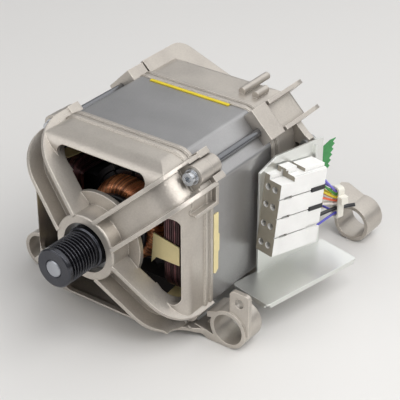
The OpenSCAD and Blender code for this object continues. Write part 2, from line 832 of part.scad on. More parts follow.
// copper bars with hooked ends round the commutator
module commutator_bars() {
    step = 360 / bar_count;
    r = commutator_d / 2;
    for (i = [0 : bar_count - 1]) color("#b8703a") rotate([-90, 0, 0]) rotate([0, 0, i * step])
        rotate_extrude(angle = step - 2.4) polygon([[r - 5, commutator_y], [r - 5, commutator_y + 20],
            [r, commutator_y + commutator_length], [r, commutator_y + 3], [r + 2, commutator_y + 3],
            [r + 2, commutator_y]]);
}

// moulded core that holds the commutator bars
module commutator_core() {
    r = commutator_d / 2 - 5;
    color("#3a2a22") about_shaft() translate([shaft_d / 2, commutator_y - 1])
        square([r - shaft_d / 2, commutator_length + 2]);
}

// bearing outer ring with ball groove
module bearing_outer(y0) {
    r = bearing_od / 2;
    mid = y0 + bearing_width / 2;
    color("#d4d6da") about_shaft() difference() {
        translate([r - race, y0]) square([race, bearing_width]);
        translate([ball_path(), mid]) circle(ball_r + ball_play, $fn = 48);
    }
}

function ball_path() = (shaft_d / 2 + bearing_od / 2) / 2;

// bearing inner ring with ball groove
module bearing_inner(y0) {
    mid = y0 + bearing_width / 2;
    color("#d4d6da") about_shaft() difference() {
        translate([shaft_d / 2, y0]) square([race, bearing_width]);
        translate([ball_path(), mid]) circle(ball_r + ball_play, $fn = 48);
    }
}

// balls of one bearing
module bearing_balls(y0) {
    for (i = [0 : ball_count - 1]) color("#e4e6ea") rotate([0, i * 360 / ball_count, 0])
        translate([ball_path(), y0 + bearing_width / 2, 0]) sphere(ball_r, $fn = 32);
}

// spring ring that keeps the front bearing in its seat
module retaining_ring() {
    y = front_bearing_y - 2.1;
    r = ring_groove_r;
    color("#c2c6cc") difference() {
        rotate([-90, 0, 0]) rotate([0, 0, 110]) rotate_extrude(angle = 320)
            translate([r - 4.2, y]) square([4.2, ring_thick]);
        for (a = [30, 150, 270]) rotate([0, a, 0]) translate([r - 5.8, 0, 0]) rod(3, y - 1, 4);
    }
}

// moulded brush boxes on the upper and lower wall of the rear shield
module brush_holders() {
    inner_x = brush_thick / 2 + brush_play;
    inner_y = brush_width / 2 + brush_play;
    for (s = [0, 1]) color("#2e3034") mirror([0, 0, s]) translate([0, brush_y, 0]) difference() {
        union() {
            translate([-inner_x - holder_wall, -inner_y - holder_wall, holder_start])
                cube([2 * (inner_x + holder_wall), 2 * (inner_y + holder_wall), holder_end - holder_start]);
            translate([-inner_x - 8, -inner_y - holder_wall, holder_end - 3])
                cube([2 * inner_x + 16, 2 * inner_y, 3]);
        }
        translate([-inner_x, -inner_y, holder_start - 1])
            cube([2 * inner_x, 2 * inner_y, holder_end - holder_cap - holder_start + 1]);
    }
}

// carbon brush with its running face hollowed to the commutator
module carbon_brush(side) {
    r = commutator_d / 2 + brush_gap;
    color("#34343a") mirror([0, 0, side < 0 ? 1 : 0]) difference() {
        translate([-brush_thick / 2, brush_y - brush_width / 2, r - 2])
            cube([brush_thick, brush_width, brush_end - r + 2]);
        rod(r, brush_y - 20, 40);
    }
}

// coil spring that presses a brush on the commutator
module brush_spring(side) {
    start = brush_end + spring_wire;
    run = spring_length - 2 * spring_wire;
    path = [for (i = [0 : 8 * spring_turns]) let (w = 45 * i)
        [spring_r * cos(w), brush_y + spring_r * sin(w), start + run * i / (8 * spring_turns)]];
    echo(str("brush spring self gap ", self_gap(path, spring_wire, 5)));
    color("#b9bcc2") mirror([0, 0, side < 0 ? 1 : 0]) tube(path, spring_wire, 6, [0, 0, 1]);
}

// ring magnet on the shaft tail
module tacho_magnet() {
    color("#4a4c50") about_shaft() translate([tail_r, tacho_y]) square([5, tacho_length]);
}

// pick-up coil round the magnet, seated in the rear hub
module tacho_coil() {
    r = bearing_od / 2;
    color("#8c4f2a") about_shaft() difference() {
        translate([tail_r + 6, tacho_y - 2]) square([r - tail_r - 6, tacho_length + 3]);
        translate([r - 2.5, tacho_y]) square([3, tacho_length - 1]);
    }
}

// pressed cap that closes the rear hub
module tacho_cap() {
    r = bearing_od / 2;
    y = tacho_y + tacho_length + 1;
    color("#2e3034") about_shaft() difference() {
        union() {
            translate([0, y]) square([r, rear_arm_y + 0.5 - y]);
            translate([0, rear_arm_y + 0.5]) square([r + 2.5, 1.5]);
        }
        translate([-1, y - 1]) square([r - 1.6, 5]);
    }
}

// places a shape in the bracket's own axes: X away from the body, Y along the sheet
module at_bracket() {
    translate([bracket_x, bracket_y, 0]) rotate([0, 0, -bracket_yaw]) children();
}

// bent sheet bracket: upright with a cut corner, foot plate and a tab behind the cast gusset
module terminal_bracket() {
    edge = bracket_face(tab_y) + 0.4;
    h = bracket_high;
    color("#c9ccc6") difference() {
        union() {
            at_bracket() {
                along_x(0, sheet) polygon([[-2, bracket_low], [-2, 30], [11.5, bracket_high + 0.5],
                    [bracket_tail, bracket_high - 1], [bracket_tail, bracket_low]]);
                translate([foot_width / 2, 17, bracket_low - sheet]) linear_extrude(sheet)
                    round_rect(foot_width, 78, 2.5);
                translate([foot_width - sheet, -19.5, bracket_low - 3.2]) cube([sheet, 73, 3.2]);
                translate([2.5, -22, bracket_low - 3.2]) cube([foot_width - 5, sheet, 3.2]);
                translate([0, bracket_tail - 9, bracket_high - 12]) cube([4, 1.4, 9]);
            }
            along_y(tab_y, sheet) polygon([[half + 0.6, h - 20], [half + 0.6, h - 6], [half + 5, h - 0.5],
                [edge, h - 1.5], [edge, h - 22]]);
        }
        for (p = rivet_places) translate([p[0], 0, p[1]]) rod(rivet_hole_r, tab_y - 1, sheet + 2);
    }
}

// two rivets through the gusset and the tab
module bracket_rivets() {
    for (p = rivet_places) color("#b9bcc0") translate([p[0], 0, p[1]]) {
        rod(rivet_r, lug_y - 0.8, lug_thick + sheet + 1.6);
        rod(rivet_r + 1.2, lug_y - 1.4, 1.4);
        rod(rivet_r + 1.2, tab_y + sheet, 1.4);
    }
}

// places a shape in the connector's own axes, centred on its inner face
module at_connector() {
    at_bracket() translate(connector_mid) rotate([-connector_lean, 0, 0]) children();
}

function tier_z(i) = (i - (tier_count - 1) / 2) * tier_height;

// stacked connector block with terminal cavities, latch steps and key slots
module connector_housing() {
    w = connector_size[0];
    l = connector_size[1];
    h = connector_size[2];
    color("#f0eee8") at_connector() difference() {
        union() {
            translate([0, -l / 2, -h / 2]) cube([w - 0.9, l, h]);
            for (i = [0 : tier_count - 1]) translate([0, -l / 2, tier_z(i) - tier_height / 2 + 0.35])
                cube([w, l, tier_height - 0.7]);
            translate([1, -l / 2 + 9, h / 2 - 1]) cube([7, 9, 4.4]);
            translate([0.5, l / 2 - 17, h / 2 - 1]) cube([w - 3, 17, 3.2]);
        }
        translate([4, -l / 2 - 1, h / 2 - 3]) cube([w, 12, 5]);
        for (i = [0 : tier_count - 1], x = [3.6, 9.4])
            translate([x, -l / 2 - 1, tier_z(i) - (i == tier_count - 1 ? 1.4 : 0)])
                rotate([-90, 0, 0]) cylinder(r = 2.1, h = 13, $fn = 32);
        for (i = [0 : tier_count - 2]) {
            translate([w - 1.8, -l / 2 + 4, tier_z(i) + tier_height / 2 - 0.9]) cube([4, 6.5, 1.8]);
            translate([w - 2.2, l / 2 - 12, tier_z(i) + tier_height / 2 - 1.5]) cube([4, 13, 3]);
        }
    }
}

// flat terminal pins at the bottom of the cavities
module connector_terminals() {
    l = connector_size[1];
    for (i = [0 : tier_count - 1], x = [3.6, 9.4]) color("#c8a44a") at_connector()
        translate([x - 0.4, -l / 2 + 2.5, tier_z(i) - (i == tier_count - 1 ? 1.4 : 0) - 1.3])
            cube([0.8, 9.5, 2.6]);
}

// dark coding keys in the slots between the tiers
module connector_keys() {
    w = connector_size[0];
    l = connector_size[1];
    for (i = [1 : tier_count - 2]) color("#35353a") at_connector()
        translate([w - 2.2, l / 2 - 11, tier_z(i) + tier_height / 2 - 1.5]) cube([2.4, 11.5, 3]);
}

// position on the connector's rear face, in part axes
function outlet(a, b) = let (
    s = connector_mid[1] + a * cos(connector_lean) + b * sin(connector_lean),
    z = connector_mid[2] - a * sin(connector_lean) + b * cos(connector_lean),
    n = sheet + 7)
    [bracket_x + n * cos(bracket_yaw) + s * sin(bracket_yaw),
     bracket_y - n * sin(bracket_yaw) + s * cos(bracket_yaw), z];

// one wire from its outlet, through the tie at its own level, into the rear shield
module wire(tone, row, place) {
    a = connector_size[1] / 2;
    level = row * outlet_step;
    lift = [0, 0, place * wire_step];
    path = concat([outlet(a, level), outlet(a + 2.5, level)], [for (p = harness) p + lift]);
    color(tone) tube(path, wire_d / 2, 8, [0, 0, 1]);
}

// black sleeve over the brush leads, cut off just past the tie
module black_sleeve() {
    a = connector_size[1] / 2;
    lift = [0, 0, -2.5 * wire_step];
    level = -2.4 * outlet_step;
    path = [outlet(a, level), outlet(a + 3, level), harness[0] + lift, tie_at + lift,
        tie_at + lift + [4.5, 5, 0.8], tie_at + lift + [8, 8, 1.5]];
    color("#1c1c1f") tube(path, wire_d * 0.8, 8, [0, 0, 1]);
}

// nylon tie round the harness, with its square head
module cable_tie() {
    tall = 8.2 * wire_step;
    wide = 2 * wire_d * 0.8 + 2.2;
    turn = 20;
    low = -0.5 * wire_step;
    color("#ece9e0") translate(tie_at) rotate([0, 0, -turn]) {
        along_y(-2.2, 4.4) translate([0, low]) difference() {
            round_rect(wide + 2.4, tall + 2.4, wide / 2);
            round_rect(wide, tall, wide / 2 - 0.01);
        }
        translate([wide / 2 + 0.6, -2.6, low + 1]) cube([4, 5.2, 5]);
    }
}

// green tape flag with a pinked edge, stuck behind the bracket
module harness_tape() {
    s0 = bracket_tail - 2;
    s1 = bracket_tail + 13;
    teeth = [for (i = [0 : 5]) each [[s1 - i * 0.9, 30 - i * 3.6], [s1 - 2.6 - i * 0.9, 28.2 - i * 3.6]]];
    color("#3f8f4f") at_bracket() along_x(-0.6, 0.6)
        polygon(concat([[s0, 8], [s0, 26], [s0 + 10, 30]], teeth, [[s1 - 8, 7]]));
}
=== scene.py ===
"""Dresses a packed washing machine motor: finishes, wound coils, leads, springs and a plain studio."""

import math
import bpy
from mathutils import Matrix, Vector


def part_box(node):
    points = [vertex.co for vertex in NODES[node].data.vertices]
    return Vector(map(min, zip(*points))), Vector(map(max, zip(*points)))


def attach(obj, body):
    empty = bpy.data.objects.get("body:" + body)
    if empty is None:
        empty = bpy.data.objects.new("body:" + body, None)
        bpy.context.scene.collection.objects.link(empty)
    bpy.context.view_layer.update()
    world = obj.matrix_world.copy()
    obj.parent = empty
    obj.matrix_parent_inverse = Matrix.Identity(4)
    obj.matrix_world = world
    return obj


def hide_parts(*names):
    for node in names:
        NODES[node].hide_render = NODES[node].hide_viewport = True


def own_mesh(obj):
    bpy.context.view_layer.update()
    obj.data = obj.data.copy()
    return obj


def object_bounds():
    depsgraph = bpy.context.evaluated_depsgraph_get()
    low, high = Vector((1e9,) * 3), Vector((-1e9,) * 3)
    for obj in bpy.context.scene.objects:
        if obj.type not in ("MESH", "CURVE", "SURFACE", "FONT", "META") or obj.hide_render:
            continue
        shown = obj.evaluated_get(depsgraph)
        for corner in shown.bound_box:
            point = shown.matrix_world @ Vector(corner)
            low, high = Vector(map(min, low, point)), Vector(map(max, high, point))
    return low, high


bl_info = {
    "name": "Washing machine motor",
    "version": (1, 0, 0),
    "blender": (4, 5, 0),
    "location": "View3D > Sidebar > Motor",
    "description": "Finishes, wound coils, leads and studio for a belt drive motor",
    "category": "Object",
}

import bpy
import numpy as np

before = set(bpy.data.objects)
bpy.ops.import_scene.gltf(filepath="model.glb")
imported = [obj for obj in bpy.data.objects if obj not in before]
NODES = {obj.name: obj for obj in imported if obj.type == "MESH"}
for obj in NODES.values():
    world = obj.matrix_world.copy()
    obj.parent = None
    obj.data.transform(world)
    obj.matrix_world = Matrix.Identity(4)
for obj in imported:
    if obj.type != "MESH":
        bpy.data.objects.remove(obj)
CAD_BOX = [list(corner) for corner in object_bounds()]
MM = 0.001
GROUND = CAD_BOX[0][2]


# Numbers that every worked surface shares

GRAIN_SHARE = 0.35  # of the tone comes from the fine grain
TONE_ENDS = (0.3, 0.7)  # noise values at the ends of the tone ramp
EDGE_TURN = (0.98, 0.8)  # cosines of the turn where an edge begins to lighten, as wear and painted highlight, and is fully lightened
EDGE_WEAR_AND_HIGHLIGHT = 0.7  # share of the lighter tone, as wear and painted highlight, on a rounded edge
GLOSS_SWING = 0.15  # share by which the roughness goes up and down
GRAIN_STRENGTH = 0.6  # of the bump
PAINTED_SHADE_LIMITS = (0.15, 0.75)  # openness where the painted shade in a corner is darkest and where it ends
# tone of the painted shade in corners and between close parts
PAINTED_SHADE_TONE = "#1f1c19"
BRIGHTEST = 1.4  # tone of the brightest strand of a winding
FACING = (0.6, 0.8)  # cosines where a face begins to look along the shaft and does so fully
OXIDE_SHADE = 0.62  # tone of a bolt's shank, over that of its head


# Places and sizes from the fitted camera and from the part's source

CAMERA_PLACE = (0.4536, -0.4922, 0.4340)
CAMERA_TILT, CAMERA_HEADING = 59.3, 36.2  # degrees
SENSOR = 36.0  # mm
FLOOR_HALF, FLOOR_DROP = 4, 0.2 * MM
FLOOR_BLEND = (0.6, 1.1)  # m from the part where the floor's plain tone begins and is full
ROOM_LOW, ROOM_HIGH = "#8e9094", "#f7f8fa"
LIGHT_AIM = (0.0, 0.09, 0.0)
SOFTBOXES = (  # name, place and size in m
    ("key", (-0.45, -1.1, 0.5), (1.3, 1.0)),
    ("top", (0.75, 0.0, 1.05), (1.1, 1.1)),
    ("side", (1.2, -0.35, 0.55), (0.8, 0.8)),
    ("back", (0.25, 1.5, 1.15), (3.0, 1.4)),
)
PACKING = 1.06  # pitch of strands that lie side by side, over their diameter
COIL_THICK = 13.4 * MM
TIE = np.array([86.0, 155.5, -5.0]) * MM
LEAD_GAP = 0.9 * MM
LEAD_ROUTE = np.array([[-1.4, -2, 0], [0, 0, 0], [0.3, 5, -2], [-4, 9.5, -5], [-14, 11.5, -7],
                       [-36, 13, -4]]) * MM
LEADS = (  # colour, tone, row on the connector and place in the tie
    ("violet", "#7a6fd0", 3.4, 3),
    ("green", "#4f9a3a", 2.4, 2),
    ("yellow", "#e8cf3a", 1.4, 1),
    ("red", "#d8694a", 0.4, 0),
    ("white", "#e6e2dc", -0.6, -1),
    ("blue", "#5a55c8", -4, -4),
)
SLEEVE_ROUTE = np.array([[-1.4, -2, 0], [0, 0, 0], [4.5, 5, 0.8], [8, 8, 1.5]]) * MM
SLEEVE_ROW, SLEEVE_PLACE, SLEEVE_SHARE = -2.4, -2.5, 0.8  # its radius is a share of a lead's diameter
BRACKET_YAW, CONNECTOR_LEAN = math.radians(12), math.radians(7.5)
CONNECTOR_FOOT = (61.6, 104.4, 1.5)  # mm
CONNECTOR_OUT, CONNECTOR_ALONG = 8.5, 18.6  # mm from the foot, square to the bracket and along it
LEAD_EXITS = (19.5, 22.0)  # mm along the connector: its rear face, and a little behind it
ROW_PITCH = 5.0  # mm


# Small helpers for colours, nodes and meshes


def linear(tone):
    """Linear RGBA of an sRGB hex value such as "#beb4aa"."""
    srgb = np.array([int(tone[i : i + 2], 16) for i in (1, 3, 5)]) / 255
    low, high = srgb / 12.92, ((srgb + 0.055) / 1.055) ** 2.4
    return (*np.where(srgb <= 0.04045, low, high), 1.0)


def shade(tone, factor):
    """A hex value made darker or lighter by a factor."""
    parts = [min(255, round(int(tone[i : i + 2], 16) * factor)) for i in (1, 3, 5)]
    return "#%02x%02x%02x" % tuple(parts)


def put(tree, kind, inputs=None, **settings):
    """Adds a shader node, applies its settings, and fills or links its inputs."""
    made = tree.nodes.new(kind)
    for key, value in settings.items():
        setattr(made, key, value)
    for key, value in (inputs or {}).items():
        if isinstance(value, bpy.types.NodeSocket):
            tree.links.new(value, made.inputs[key])
        else:
            made.inputs[key].default_value = value
    return made


def blank(name):
    """A new node material with only a Principled shader: the material, its tree and the shader."""
    material = bpy.data.materials.new(name)
    material.use_nodes = True
    return material, material.node_tree, material.node_tree.nodes["Principled BSDF"]


def surface(name, tone, metallic, roughness, grain, patch, bump=0.05, edge=0.5, spread=0.1, rub_and_highlight=1.15,
            painted_shade=0.0, reach=7.0):
    """A worked surface: patchy tone, uneven gloss, a fine grain and softened edges, lighter as wear and
    painted highlight.

    grain and patch are the real sizes in mm of the surface grain and of its cloudy patches, bump is the
    height of the grain in mm, edge the radius of a rounded edge in mm, spread the range of tone,
    rub_and_highlight the lightening of the edges as wear and painted highlight, painted_shade the painted
    shade that darkens corners and reach its distance in mm. The tone goes from
    (1 - spread) to (1 + spread) times the colour with the cloudy noise and a third of the grain, and the
    gloss goes the other way.
    """
    material, tree, shader = blank(name)
    at = put(tree, "ShaderNodeTexCoord").outputs["Object"]
    cloud = put(tree, "ShaderNodeTexNoise", {"Vector": at, "Scale": 1 / (patch * MM), "Detail": 4.0})
    fine = put(tree, "ShaderNodeTexNoise", {"Vector": at, "Scale": 1 / (grain * MM), "Detail": 2.0})
    both = put(tree, "ShaderNodeMix", {"Factor": GRAIN_SHARE, 2: cloud.outputs["Fac"],
                                       3: fine.outputs["Fac"]})
    ramp = put(tree, "ShaderNodeValToRGB", {"Fac": both.outputs[0]})
    for stop, place, factor in zip(ramp.color_ramp.elements, TONE_ENDS, (1 - spread, 1 + spread)):
        stop.position, stop.color = place, linear(shade(tone, factor))
    rounded = put(tree, "ShaderNodeBevel", {"Radius": edge * MM}, samples=4)
    facing = put(tree, "ShaderNodeNewGeometry").outputs["Normal"]
    turn = put(tree, "ShaderNodeVectorMath", {0: rounded.outputs[0], 1: facing}, operation="DOT_PRODUCT")
    # Edges turn to a lighter tone, as wear and as a painted highlight.
    worn_and_highlit = put(tree, "ShaderNodeMapRange", {"Value": turn.outputs["Value"], "From Min": EDGE_TURN[0],
                                            "From Max": EDGE_TURN[1], "To Min": 0.0, "To Max": EDGE_WEAR_AND_HIGHLIGHT})
    colour = put(tree, "ShaderNodeMix", {"Factor": worn_and_highlit.outputs[0], 6: ramp.outputs[0],
                                         7: linear(shade(tone, rub_and_highlight))}, data_type="RGBA")
    gloss = put(tree, "ShaderNodeMapRange", {"Value": cloud.outputs["Fac"],
                                             "To Min": roughness * (1 + GLOSS_SWING),
                                             "To Max": roughness * (1 - GLOSS_SWING)})
    relief = put(tree, "ShaderNodeBump", {"Height": fine.outputs["Fac"], "Strength": GRAIN_STRENGTH,
                                          "Distance": bump * MM, "Normal": rounded.outputs[0]})
    tint = colour.outputs[2]
    # Painted shade: an ambient occlusion mask darkens corners, hollows and places close to other parts.
    if painted_shade:
        occlusion = put(tree, "ShaderNodeAmbientOcclusion", {"Distance": reach * MM}, samples=4)
        shade_part = put(tree, "ShaderNodeMapRange", {"Value": occlusion.outputs["AO"], "From Min": PAINTED_SHADE_LIMITS[0],
                                                "From Max": PAINTED_SHADE_LIMITS[1], "To Min": painted_shade, "To Max": 0.0})
        tint = put(tree, "ShaderNodeMix", {"Factor": shade_part.outputs[0], 6: tint, 7: linear(PAINTED_SHADE_TONE)},
                   data_type="RGBA").outputs[2]
    tree.links.new(tint, shader.inputs["Base Color"])
    tree.links.new(gloss.outputs[0], shader.inputs["Roughness"])
    tree.links.new(relief.outputs[0], shader.inputs["Normal"])
    shader.inputs["Metallic"].default_value = metallic
    return material, tree, shader, at, relief


def add_relief(tree, shader, relief, height, depth):
    """Lays a second relief of a given depth in mm over the first."""
    more = put(tree, "ShaderNodeBump", {"Height": height, "Strength": 1.0, "Distance": depth * MM,
                                        "Normal": relief.outputs[0]})
    tree.links.new(more.outputs[0], shader.inputs["Normal"])


def lay_tone(tree, shader, part, tone):
    """Lays a tone over the shader's colour, as far as the value of a socket says."""
    plain = shader.inputs["Base Color"].links[0].from_socket
    mixed = put(tree, "ShaderNodeMix", {"Factor": part, 6: plain, 7: linear(tone)}, data_type="RGBA")
    tree.links.new(mixed.outputs[2], shader.inputs["Base Color"])


def stripes(tree, along, pitch):
    """A wave from 0 to 1 that repeats every pitch mm along a coordinate socket."""
    angle = put(tree, "ShaderNodeMath", {0: along, 1: 2 * math.pi / (pitch * MM)}, operation="MULTIPLY")
    wave = put(tree, "ShaderNodeMath", {0: angle.outputs[0]}, operation="SINE")
    half = put(tree, "ShaderNodeMath", {0: wave.outputs[0], 1: 0.5, 2: 0.5}, operation="MULTIPLY_ADD")
    return half.outputs[0]


# Finishes, each after the real material


def cast_aluminium(name, tone):
    """Die-cast aluminium, bead-blasted: a warm pale grey with a soft sheen, sandy skin and faint clouds."""
    # Edges lightened as wear and painted highlight, and corners darkened as painted shade.
    material, tree, shader, at, relief = surface(name, tone, 0.62, 0.34, 1.1, 22, bump=0.09, edge=0.8,
                                                 spread=0.06, rub_and_highlight=1.32, painted_shade=0.4)
    speck = put(tree, "ShaderNodeTexVoronoi", {"Vector": at, "Scale": 1 / (1.4 * MM)})
    add_relief(tree, shader, relief, speck.outputs["Distance"], 0.05)
    return material


def paint_shade_facing(tree, shader, tone, both):
    """Paints shade as a tone on the faces that look forward along the shaft, and backward too where both is
    set.
    """
    split = put(tree, "ShaderNodeSeparateXYZ", {0: put(tree, "ShaderNodeNewGeometry").outputs["Normal"]})
    way = {0: split.outputs["Y"]} if both else {0: split.outputs["Y"], 1: -1.0}
    along = put(tree, "ShaderNodeMath", way, operation="ABSOLUTE" if both else "MULTIPLY")
    part = put(tree, "ShaderNodeMapRange", {"Value": along.outputs[0], "From Min": FACING[0],
                                            "From Max": FACING[1]})
    lay_tone(tree, shader, part.outputs[0], tone)


def bolt_steel(name, tone, head_end):
    """Long bolts: a bright rolled head in front of head_end and a dark oxide shank behind it."""
    material, tree, shader, at, _ = surface(name, tone, 0.9, 0.24, 0.5, 10, bump=0.01, edge=0.3)
    split = put(tree, "ShaderNodeSeparateXYZ", {0: at})
    shank = put(tree, "ShaderNodeMath", {0: split.outputs["Y"], 1: head_end}, operation="GREATER_THAN")
    lay_tone(tree, shader, shank.outputs[0], shade(tone, OXIDE_SHADE))
    return material


def stacked_sheet(name, tone):
    """Lamination steel, punched and stacked: plain grey, half gloss, with the sheet edges as fine lines.

    The sheets are 0.65 mm thick, too fine to show here, so the lines are drawn every 1.3 mm.
    The ends are painted dark as shade, and painted shade also darkens the places close to others.
    """
    material, tree, shader, at, relief = surface(name, tone, 0.82, 0.34, 0.7, 30, bump=0.02, spread=0.06,
                                                 painted_shade=0.7, reach=30.0)
    split = put(tree, "ShaderNodeSeparateXYZ", {0: at})
    add_relief(tree, shader, relief, stripes(tree, split.outputs["Y"], 1.3), 0.05)
    # The end faces of both stacks get a near-black painted shade.
    paint_shade_facing(tree, shader, "#1d1a1c", True)
    return material


def turned_steel(name, tone, roughness):
    """Turned steel: rings about the shaft axis, 0.5 mm apart, that stretch the highlights."""
    material, tree, shader, at, relief = surface(name, tone, 0.9, roughness, 0.5, 12, bump=0.01, edge=0.3,
                                                 spread=0.08)
    flat = put(tree, "ShaderNodeVectorMath", {0: at, 1: (1.0, 0.0, 1.0)}, operation="MULTIPLY")
    radius = put(tree, "ShaderNodeVectorMath", {0: flat.outputs[0]}, operation="LENGTH")
    add_relief(tree, shader, relief, stripes(tree, radius.outputs["Value"], 0.5), 0.02)
    return material


def zinc_sheet(name, tone):
    """Zinc-plated steel sheet: bright cool grey with soft cells of the plating and rolling lines."""
    # Edges lightened as wear and painted highlight.
    material, tree, shader, at, relief = surface(name, tone, 0.85, 0.33, 0.5, 60, bump=0.004, spread=0.03,
                                                 rub_and_highlight=1.12)
    longer = put(tree, "ShaderNodeMapping", {"Vector": at, "Scale": (1.0, 0.02, 0.02)})
    lines = put(tree, "ShaderNodeTexNoise", {"Vector": longer.outputs[0], "Scale": 1 / (0.8 * MM),
                                             "Detail": 1.0})
    add_relief(tree, shader, relief, lines.outputs["Fac"], 0.004)
    return material


def enamelled_copper(name, tone, darkest=0.0):
    """Copper wire under clear enamel: red-brown metal with a wet gloss and uneven lacquer.

    Wound pieces carry a value for each strand, which makes some strands darker than their neighbours, down
    to the share of the tone that darkest gives. Without it every strand has the same tone.
    """
    material, tree, shader, _, _ = surface(name, tone, 0.75, 0.32, 0.6, 5, bump=0.02, edge=0.1, spread=0.22)
    shader.inputs["Coat Weight"].default_value = 0.5
    shader.inputs["Coat Roughness"].default_value = 0.15
    if darkest:
        own = put(tree, "ShaderNodeAttribute", attribute_name="strand").outputs["Fac"]
        level = put(tree, "ShaderNodeMapRange", {"Value": own, "To Min": darkest, "To Max": BRIGHTEST})
        plain = shader.inputs["Base Color"].links[0].from_socket
        mixed = put(tree, "ShaderNodeVectorMath", {0: plain, "Scale": level.outputs[0]}, operation="SCALE")
        tree.links.new(mixed.outputs[0], shader.inputs["Base Color"])
    return material


def pressboard(name, tone):
    """Pressboard or film insulation: dull, even in tone, with fine fibres in its skin."""
    material, tree, shader, at, relief = surface(name, tone, 0.0, 0.7, 0.4, 9, bump=0.04, edge=0.2,
                                                 spread=0.035)
    fibre = put(tree, "ShaderNodeMapping", {"Vector": at, "Scale": (1.0, 1.0, 0.15)})
    hairs = put(tree, "ShaderNodeTexNoise", {"Vector": fibre.outputs[0], "Scale": 1 / (0.5 * MM),
                                             "Detail": 3.0})
    add_relief(tree, shader, relief, hairs.outputs["Fac"], 0.03)
    return material


def moulded(name, tone, roughness=0.45, depth=0.0, painted_shade=0.0):
    """Moulded nylon or polyester: even colour, fine eroded skin, a soft painted sheen on the edges and
    painted shade in hollows.
    """
    material, _, shader, _, _ = surface(name, tone, 0.0, roughness, 0.35, 16, bump=0.02, edge=0.35,
                                        spread=0.03, rub_and_highlight=1.06, painted_shade=painted_shade, reach=2.5)
    shader.inputs["IOR"].default_value = 1.53
    if depth:
        shader.inputs["Subsurface Weight"].default_value = 0.12
        shader.inputs["Subsurface Radius"].default_value = (depth * MM, depth * MM, depth * MM)
    return material


def pressed_powder(name, tone):
    """Pressed carbon or ferrite: nearly black, dry, with a speckled grain of about 0.3 mm."""
    return surface(name, tone, 0.0, 0.62, 0.3, 3, bump=0.04, edge=0.2, spread=0.2)[0]


def lead_skin(name, tone):
    """PVC lead insulation: clear colour, waxy gloss, slightly uneven skin."""
    material, _, shader, _, _ = surface(name, tone, 0.0, 0.38, 0.8, 4, bump=0.02, edge=0.1, spread=0.07)
    shader.inputs["IOR"].default_value = 1.54
    shader.inputs["Coat Weight"].default_value = 0.15
    return material


def tape_film(name, tone):
    """Adhesive film tape: saturated green with a calendered cross grain of 0.9 mm."""
    material, tree, shader, at, relief = surface(name, tone, 0.0, 0.5, 0.5, 5, bump=0.02, edge=0.1,
                                                 spread=0.12)
    split = put(tree, "ShaderNodeSeparateXYZ", {0: at})
    add_relief(tree, shader, relief, stripes(tree, split.outputs["Z"], 0.9), 0.03)
    return material


# Surfaces worked out with numpy


def skin(name, tubes, material, smooth=True, tones=None):
    """A mesh over tubes given as an array [tube, ring, side, xyz]: quads from ring to ring, capped ends.

    tones, where given, holds a value for each tube, kept on its points.
    """
    count, rings, sides, _ = tubes.shape
    base = (np.arange(count) * rings * sides)[:, None, None]
    i, k = np.arange(rings - 1)[None, :, None] * sides, np.arange(sides)[None, None, :]
    n = (k + 1) % sides
    near, far = base + i, base + i + sides
    quads = np.stack([near + k, near + n, far + n, far + k], -1).reshape(-1, 4)
    first = (base[:, 0] + np.arange(sides)[None, ::-1]).reshape(-1)
    last = (base[:, 0] + (rings - 1) * sides + np.arange(sides)[None, :]).reshape(-1)
    loops = np.concatenate([quads.reshape(-1), first, last])
    starts = np.concatenate([np.arange(len(quads)) * 4, len(quads) * 4 + np.arange(2 * count) * sides])
    mesh = bpy.data.meshes.new(name)
    mesh.vertices.add(tubes.size // 3)
    mesh.vertices.foreach_set("co", np.ascontiguousarray(tubes, dtype=np.float32).ravel())
    mesh.loops.add(len(loops))
    mesh.loops.foreach_set("vertex_index", loops.astype(np.int32))
    mesh.polygons.add(len(starts))
    mesh.polygons.foreach_set("loop_start", starts.astype(np.int32))
    mesh.update(calc_edges=True)
    mesh.validate()
    mesh.polygons.foreach_set("use_smooth", np.full(len(mesh.polygons), smooth))
    if tones is not None:
        own = mesh.attributes.new("strand", "FLOAT", "POINT")
        own.data.foreach_set("value", np.repeat(tones, rings * sides).astype(np.float32))
    mesh.materials.append(material)
    piece = bpy.data.objects.new(name, mesh)
    bpy.context.scene.collection.objects.link(piece)
    return piece


def sweep(paths, radius, sides, side):
    """Round tubes along paths [tube, point, xyz]: rings square to the path, about a fixed side direction."""
    along = np.gradient(paths, axis=1)
    along /= np.linalg.norm(along, axis=-1, keepdims=True)
    across = np.cross(along, np.broadcast_to(np.asarray(side, float), along.shape))
    across /= np.linalg.norm(across, axis=-1, keepdims=True)
    up = np.cross(across, along)
    w = np.linspace(0, 2 * np.pi, sides, endpoint=False)
    ring = np.cos(w)[:, None] * across[:, :, None, :] + np.sin(w)[:, None] * up[:, :, None, :]
    return paths[:, :, None, :] + radius * ring


def smooth_line(points, count):
    """An even line through points: cubic between each pair, sloped by the neighbours, then respaced."""
    p = np.asarray(points, float)
    ends = np.concatenate([[2 * p[0] - p[1]], p, [2 * p[-1] - p[-2]]])
    t = np.linspace(0, len(p) - 1, 40 * len(p))
    i = np.minimum(t.astype(int), len(p) - 2)
    f = (t - i)[:, None]
    a, b, c, d = ends[i], ends[i + 1], ends[i + 2], ends[i + 3]
    line = 0.5 * (2 * b + (c - a) * f + (2 * a - 5 * b + 4 * c - d) * f**2 + (3 * b - a - 3 * c + d) * f**3)
    run = np.concatenate([[0], np.cumsum(np.linalg.norm(np.diff(line, axis=0), axis=1))])
    even = np.linspace(0, run[-1], count)
    return np.stack([np.interp(even, run, line[:, q]) for q in range(3)], -1)


